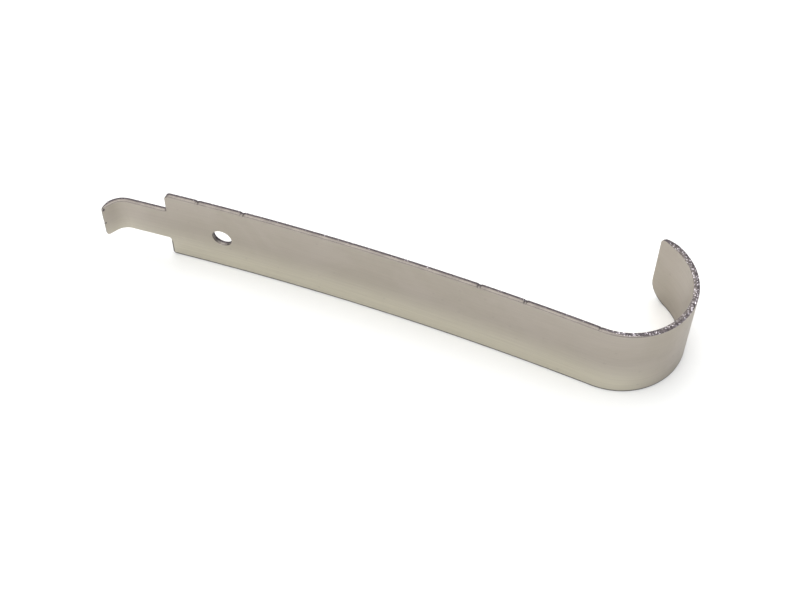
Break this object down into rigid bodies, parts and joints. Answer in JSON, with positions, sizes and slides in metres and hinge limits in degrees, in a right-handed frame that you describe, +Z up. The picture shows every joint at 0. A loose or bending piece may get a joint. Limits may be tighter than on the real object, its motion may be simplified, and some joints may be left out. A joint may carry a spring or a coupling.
{
  "type": "hive tool",
  "caption": "Bent steel hive tool: a hooked narrow tongue for lifting frames, a flat bar with a hang hole, and a wide curled end for levering and scraping.",
  "frame": {"origin": "centre of the tool's box in plan, on the floor under the long edge it stands on", "axes": "+X along the strip from the hooked tongue to the curl, +Y the side that the curl turns to, +Z up across the strip's width"},
  "size_m": [0.2016, 0.0532, 0.03],
  "materials": {
    "stainless_steel": "mill-finish stainless sheet, satin grey with a warm cast, rough dark cut edges"
  },
  "bodies": {
    "root": {"tool_strip": "stainless_steel"}
  },
  "joints": []
}
